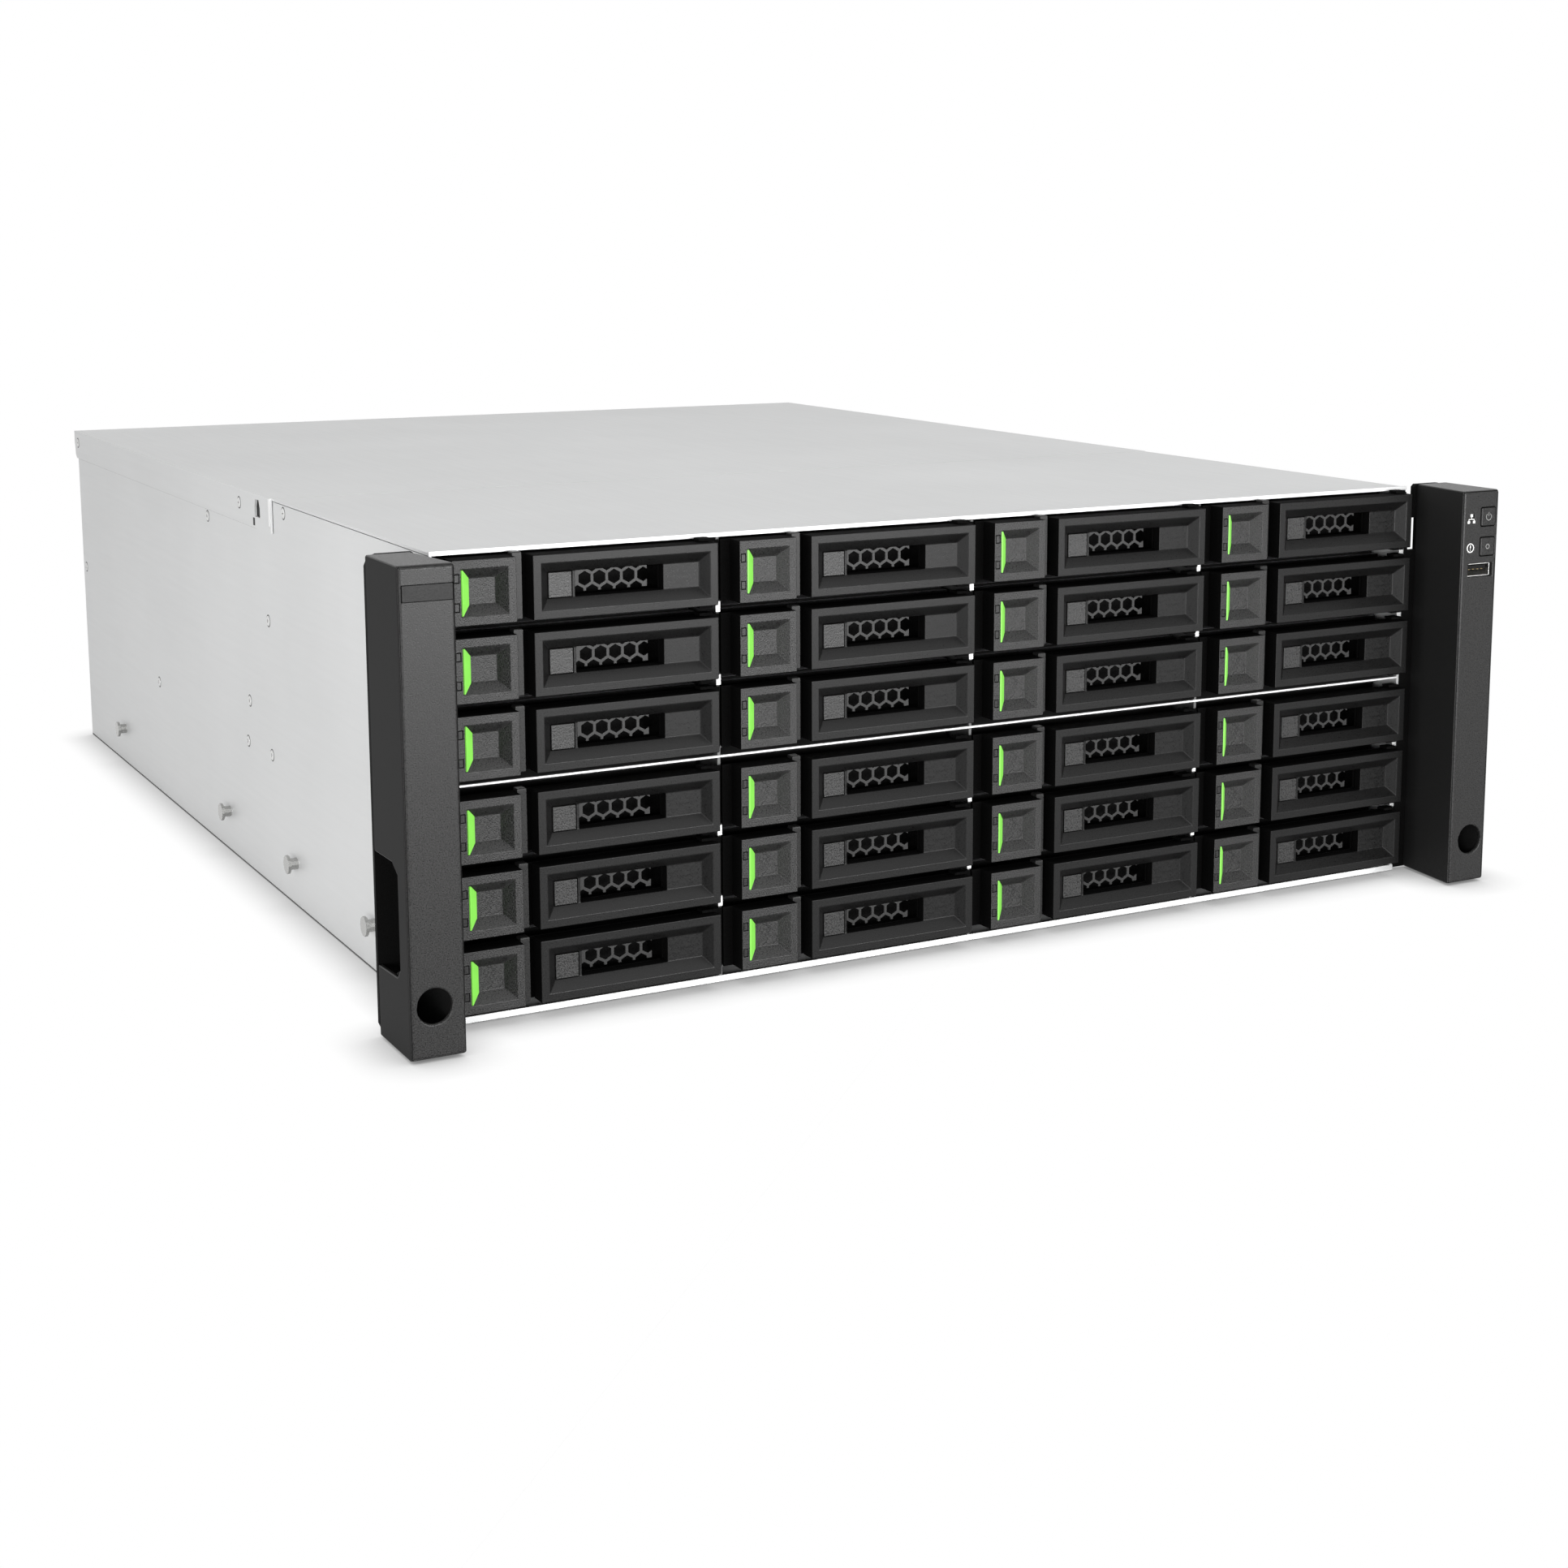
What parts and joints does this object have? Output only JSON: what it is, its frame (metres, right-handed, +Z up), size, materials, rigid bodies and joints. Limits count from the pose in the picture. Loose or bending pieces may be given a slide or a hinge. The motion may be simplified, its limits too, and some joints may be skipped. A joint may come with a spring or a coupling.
{
  "type": "disk shelf enclosure",
  "caption": "Rack-mount disk shelf: four columns of lever-latched drive carriers, ear covers with keys, sliding top cover, rear controllers, supplies and fans.",
  "frame": {"origin": "on the front plane of the rack flanges, midway between them, on the chassis underside", "axes": "+X to the right seen from the front, +Y towards the rear, +Z up"},
  "size_m": [0.4826, 0.6309, 0.1699],
  "materials": {
    "chassis_steel": "zinc-plated sheet steel, satin, light silver grey",
    "module_case": "satin aluminium sheet",
    "flange_steel": "black coated steel",
    "bezel_plastic": "dark grey moulded plastic, fine texture",
    "ear_plastic": "grey moulded plastic, fine texture",
    "circuit_board": "green solder mask",
    "bright_metal": "bright nickel plate",
    "rotor_plastic": "black moulded plastic"
  },
  "bodies": {
    "chassis": {"chassis_pan": "chassis_steel", "front_top_cover": "chassis_steel", "mid_shelf": "chassis_steel", "drive_cage": "chassis_steel", "backplane": "circuit_board", "ear_bracket_left": "flange_steel", "ear_bracket_right": "flange_steel", "ear_cover_left": "ear_plastic", "ear_cover_right": "ear_plastic", "front_control_board": "circuit_board", "rail_studs": "bright_metal", "rear_panel": "chassis_steel", "module_cage": "chassis_steel"},
    "rear_top_cover": {"rear_top_cover": "chassis_steel"},
    "power_button": {"power_button": "bezel_plastic"},
    "locate_button": {"locate_button": "bezel_plastic"},
    "controller_lower": {"controller_lower": "module_case"},
    "controller_upper": {"controller_upper": "module_case"},
    "controller_lever_lower": {"controller_lever_lower": "bezel_plastic"},
    "controller_lever_upper": {"controller_lever_upper": "bezel_plastic"},
    "psu_left": {"psu_left": "module_case"},
    "psu_right": {"psu_right": "module_case"},
    "psu_latch_left": {"psu_latch_left": "bezel_plastic"},
    "psu_latch_right": {"psu_latch_right": "bezel_plastic"},
    "fan_module_left": {"fan_module_left": "bezel_plastic"},
    "fan_module_right": {"fan_module_right": "bezel_plastic"},
    "fan_rotor_left": {"fan_rotor_left": "rotor_plastic"},
    "fan_rotor_right": {"fan_rotor_right": "rotor_plastic"},
    "carrier_r1c1": {"carrier_r1c1": "bezel_plastic"},
    "carrier_r1c2": {"carrier_r1c2": "bezel_plastic"},
    "carrier_r1c3": {"carrier_r1c3": "bezel_plastic"},
    "carrier_r1c4": {"carrier_r1c4": "bezel_plastic"},
    "carrier_r2c1": {"carrier_r2c1": "bezel_plastic"},
    "carrier_r2c2": {"carrier_r2c2": "bezel_plastic"},
    "carrier_r2c3": {"carrier_r2c3": "bezel_plastic"},
    "carrier_r2c4": {"carrier_r2c4": "bezel_plastic"},
    "carrier_r3c1": {"carrier_r3c1": "bezel_plastic"},
    "carrier_r3c2": {"carrier_r3c2": "bezel_plastic"},
    "carrier_r3c3": {"carrier_r3c3": "bezel_plastic"},
    "carrier_r3c4": {"carrier_r3c4": "bezel_plastic"},
    "carrier_r4c1": {"carrier_r4c1": "bezel_plastic"},
    "carrier_r4c2": {"carrier_r4c2": "bezel_plastic"},
    "carrier_r4c3": {"carrier_r4c3": "bezel_plastic"},
    "carrier_r4c4": {"carrier_r4c4": "bezel_plastic"},
    "carrier_r5c1": {"carrier_r5c1": "bezel_plastic"},
    "carrier_r5c2": {"carrier_r5c2": "bezel_plastic"},
    "carrier_r5c3": {"carrier_r5c3": "bezel_plastic"},
    "carrier_r5c4": {"carrier_r5c4": "bezel_plastic"},
    "carrier_r6c1": {"carrier_r6c1": "bezel_plastic"},
    "carrier_r6c2": {"carrier_r6c2": "bezel_plastic"},
    "carrier_r6c3": {"carrier_r6c3": "bezel_plastic"},
    "carrier_r6c4": {"carrier_r6c4": "bezel_plastic"},
    "carrier_lever_c1": {"carrier_lever_c1": "bezel_plastic"},
    "lever_button_c1": {"lever_button_c1": "bezel_plastic"},
    "carrier_lever_c2": {"carrier_lever_c2": "bezel_plastic"},
    "lever_button_c2": {"lever_button_c2": "bezel_plastic"},
    "carrier_lever_c3": {"carrier_lever_c3": "bezel_plastic"},
    "lever_button_c3": {"lever_button_c3": "bezel_plastic"},
    "carrier_lever_c4": {"carrier_lever_c4": "bezel_plastic"},
    "lever_button_c4": {"lever_button_c4": "bezel_plastic"}
  },
  "joints": [
    {"name": "carrier_r1c1_slide", "type": "slide", "parent": "chassis", "child": "carrier_r1c1", "axis": [0, -1, 0], "range_m": [0, 0.2]},
    {"name": "carrier_r1c2_slide", "type": "slide", "parent": "chassis", "child": "carrier_r1c2", "axis": [0, -1, 0], "range_m": [0, 0.2]},
    {"name": "carrier_r1c3_slide", "type": "slide", "parent": "chassis", "child": "carrier_r1c3", "axis": [0, -1, 0], "range_m": [0, 0.2]},
    {"name": "carrier_r1c4_slide", "type": "slide", "parent": "chassis", "child": "carrier_r1c4", "axis": [0, -1, 0], "range_m": [0, 0.2]},
    {"name": "carrier_r2c1_slide", "type": "slide", "parent": "chassis", "child": "carrier_r2c1", "axis": [0, -1, 0], "range_m": [0, 0.2]},
    {"name": "carrier_r2c2_slide", "type": "slide", "parent": "chassis", "child": "carrier_r2c2", "axis": [0, -1, 0], "range_m": [0, 0.2]},
    {"name": "carrier_r2c3_slide", "type": "slide", "parent": "chassis", "child": "carrier_r2c3", "axis": [0, -1, 0], "range_m": [0, 0.2]},
    {"name": "carrier_r2c4_slide", "type": "slide", "parent": "chassis", "child": "carrier_r2c4", "axis": [0, -1, 0], "range_m": [0, 0.2]},
    {"name": "carrier_r3c1_slide", "type": "slide", "parent": "chassis", "child": "carrier_r3c1", "axis": [0, -1, 0], "range_m": [0, 0.2]},
    {"name": "carrier_r3c2_slide", "type": "slide", "parent": "chassis", "child": "carrier_r3c2", "axis": [0, -1, 0], "range_m": [0, 0.2]},
    {"name": "carrier_r3c3_slide", "type": "slide", "parent": "chassis", "child": "carrier_r3c3", "axis": [0, -1, 0], "range_m": [0, 0.2]},
    {"name": "carrier_r3c4_slide", "type": "slide", "parent": "chassis", "child": "carrier_r3c4", "axis": [0, -1, 0], "range_m": [0, 0.2]},
    {"name": "carrier_r4c1_slide", "type": "slide", "parent": "chassis", "child": "carrier_r4c1", "axis": [0, -1, 0], "range_m": [0, 0.2]},
    {"name": "carrier_r4c2_slide", "type": "slide", "parent": "chassis", "child": "carrier_r4c2", "axis": [0, -1, 0], "range_m": [0, 0.2]},
    {"name": "carrier_r4c3_slide", "type": "slide", "parent": "chassis", "child": "carrier_r4c3", "axis": [0, -1, 0], "range_m": [0, 0.2]},
    {"name": "carrier_r4c4_slide", "type": "slide", "parent": "chassis", "child": "carrier_r4c4", "axis": [0, -1, 0], "range_m": [0, 0.2]},
    {"name": "carrier_r5c1_slide", "type": "slide", "parent": "chassis", "child": "carrier_r5c1", "axis": [0, -1, 0], "range_m": [0, 0.2]},
    {"name": "carrier_r5c2_slide", "type": "slide", "parent": "chassis", "child": "carrier_r5c2", "axis": [0, -1, 0], "range_m": [0, 0.2]},
    {"name": "carrier_r5c3_slide", "type": "slide", "parent": "chassis", "child": "carrier_r5c3", "axis": [0, -1, 0], "range_m": [0, 0.2]},
    {"name": "carrier_r5c4_slide", "type": "slide", "parent": "chassis", "child": "carrier_r5c4", "axis": [0, -1, 0], "range_m": [0, 0.2]},
    {"name": "carrier_r6c1_slide", "type": "slide", "parent": "chassis", "child": "carrier_r6c1", "axis": [0, -1, 0], "range_m": [0, 0.2]},
    {"name": "carrier_r6c2_slide", "type": "slide", "parent": "chassis", "child": "carrier_r6c2", "axis": [0, -1, 0], "range_m": [0, 0.2]},
    {"name": "carrier_r6c3_slide", "type": "slide", "parent": "chassis", "child": "carrier_r6c3", "axis": [0, -1, 0], "range_m": [0, 0.2]},
    {"name": "carrier_r6c4_slide", "type": "slide", "parent": "chassis", "child": "carrier_r6c4", "axis": [0, -1, 0], "range_m": [0, 0.2]},
    {"name": "carrier_lever_c1_swing", "type": "hinge", "parent": "carrier_r1c1", "child": "carrier_lever_c1", "pos_m": [-0.1169, -0.0043, 0.1557], "axis": [0, 0, 1], "range_deg": [0, 60]},
    {"name": "lever_button_c1_push", "type": "slide", "parent": "carrier_lever_c1", "child": "lever_button_c1", "axis": [0, 1, 0], "range_m": [0, 0.0012], "stiffness_N_per_m": 400},
    {"name": "carrier_lever_c2_swing", "type": "hinge", "parent": "carrier_r1c2", "child": "carrier_lever_c2", "pos_m": [-0.0077, -0.0043, 0.1557], "axis": [0, 0, 1], "range_deg": [0, 60]},
    {"name": "lever_button_c2_push", "type": "slide", "parent": "carrier_lever_c2", "child": "lever_button_c2", "axis": [0, 1, 0], "range_m": [0, 0.0012], "stiffness_N_per_m": 400},
    {"name": "carrier_lever_c3_swing", "type": "hinge", "parent": "carrier_r1c3", "child": "carrier_lever_c3", "pos_m": [0.1015, -0.0043, 0.1557], "axis": [0, 0, 1], "range_deg": [0, 60]},
    {"name": "lever_button_c3_push", "type": "slide", "parent": "carrier_lever_c3", "child": "lever_button_c3", "axis": [0, 1, 0], "range_m": [0, 0.0012], "stiffness_N_per_m": 400},
    {"name": "carrier_lever_c4_swing", "type": "hinge", "parent": "carrier_r1c4", "child": "carrier_lever_c4", "pos_m": [0.2107, -0.0043, 0.1557], "axis": [0, 0, 1], "range_deg": [0, 60]},
    {"name": "lever_button_c4_push", "type": "slide", "parent": "carrier_lever_c4", "child": "lever_button_c4", "axis": [0, 1, 0], "range_m": [0, 0.0012], "stiffness_N_per_m": 400},
    {"name": "power_button_push", "type": "slide", "parent": "chassis", "child": "power_button", "axis": [0, 1, 0], "range_m": [0, 0.0012], "stiffness_N_per_m": 800},
    {"name": "locate_button_push", "type": "slide", "parent": "chassis", "child": "locate_button", "axis": [0, 1, 0], "range_m": [0, 0.0012], "stiffness_N_per_m": 800},
    {"name": "rear_top_cover_slide", "type": "slide", "parent": "chassis", "child": "rear_top_cover", "axis": [0, 1, 0], "range_m": [0, 0.013]},
    {"name": "psu_left_slide", "type": "slide", "parent": "chassis", "child": "psu_left", "axis": [0, 1, 0], "range_m": [0, 0.21]},
    {"name": "psu_latch_left_squeeze", "type": "slide", "parent": "psu_left", "child": "psu_latch_left", "axis": [1, 0, 0], "range_m": [0, 0.003], "stiffness_N_per_m": 1500},
    {"name": "fan_module_left_slide", "type": "slide", "parent": "chassis", "child": "fan_module_left", "axis": [0, 1, 0], "range_m": [0, 0.06]},
    {"name": "fan_rotor_left_spin", "type": "hinge", "parent": "fan_module_left", "child": "fan_rotor_left", "pos_m": [-0.164, 0.5471, 0.108], "axis": [0, 1, 0], "continuous": true},
    {"name": "psu_right_slide", "type": "slide", "parent": "chassis", "child": "psu_right", "axis": [0, 1, 0], "range_m": [0, 0.21]},
    {"name": "psu_latch_right_squeeze", "type": "slide", "parent": "psu_right", "child": "psu_latch_right", "axis": [1, 0, 0], "range_m": [0, 0.003], "stiffness_N_per_m": 1500},
    {"name": "fan_module_right_slide", "type": "slide", "parent": "chassis", "child": "fan_module_right", "axis": [0, 1, 0], "range_m": [0, 0.06]},
    {"name": "fan_rotor_right_spin", "type": "hinge", "parent": "fan_module_right", "child": "fan_rotor_right", "pos_m": [0.164, 0.5471, 0.108], "axis": [0, 1, 0], "continuous": true},
    {"name": "controller_lower_slide", "type": "slide", "parent": "chassis", "child": "controller_lower", "axis": [0, 1, 0], "range_m": [0, 0.25]},
    {"name": "controller_lever_lower_swing", "type": "hinge", "parent": "controller_lower", "child": "controller_lever_lower", "pos_m": [0.1018, 0.5747, 0.0572], "axis": [0, 0, -1], "range_deg": [0, 70]},
    {"name": "controller_upper_slide", "type": "slide", "parent": "chassis", "child": "controller_upper", "axis": [0, 1, 0], "range_m": [0, 0.25]},
    {"name": "controller_lever_upper_swing", "type": "hinge", "parent": "controller_upper", "child": "controller_lever_upper", "pos_m": [0.1018, 0.5747, 0.1264], "axis": [0, 0, -1], "range_deg": [0, 70]}
  ]
}
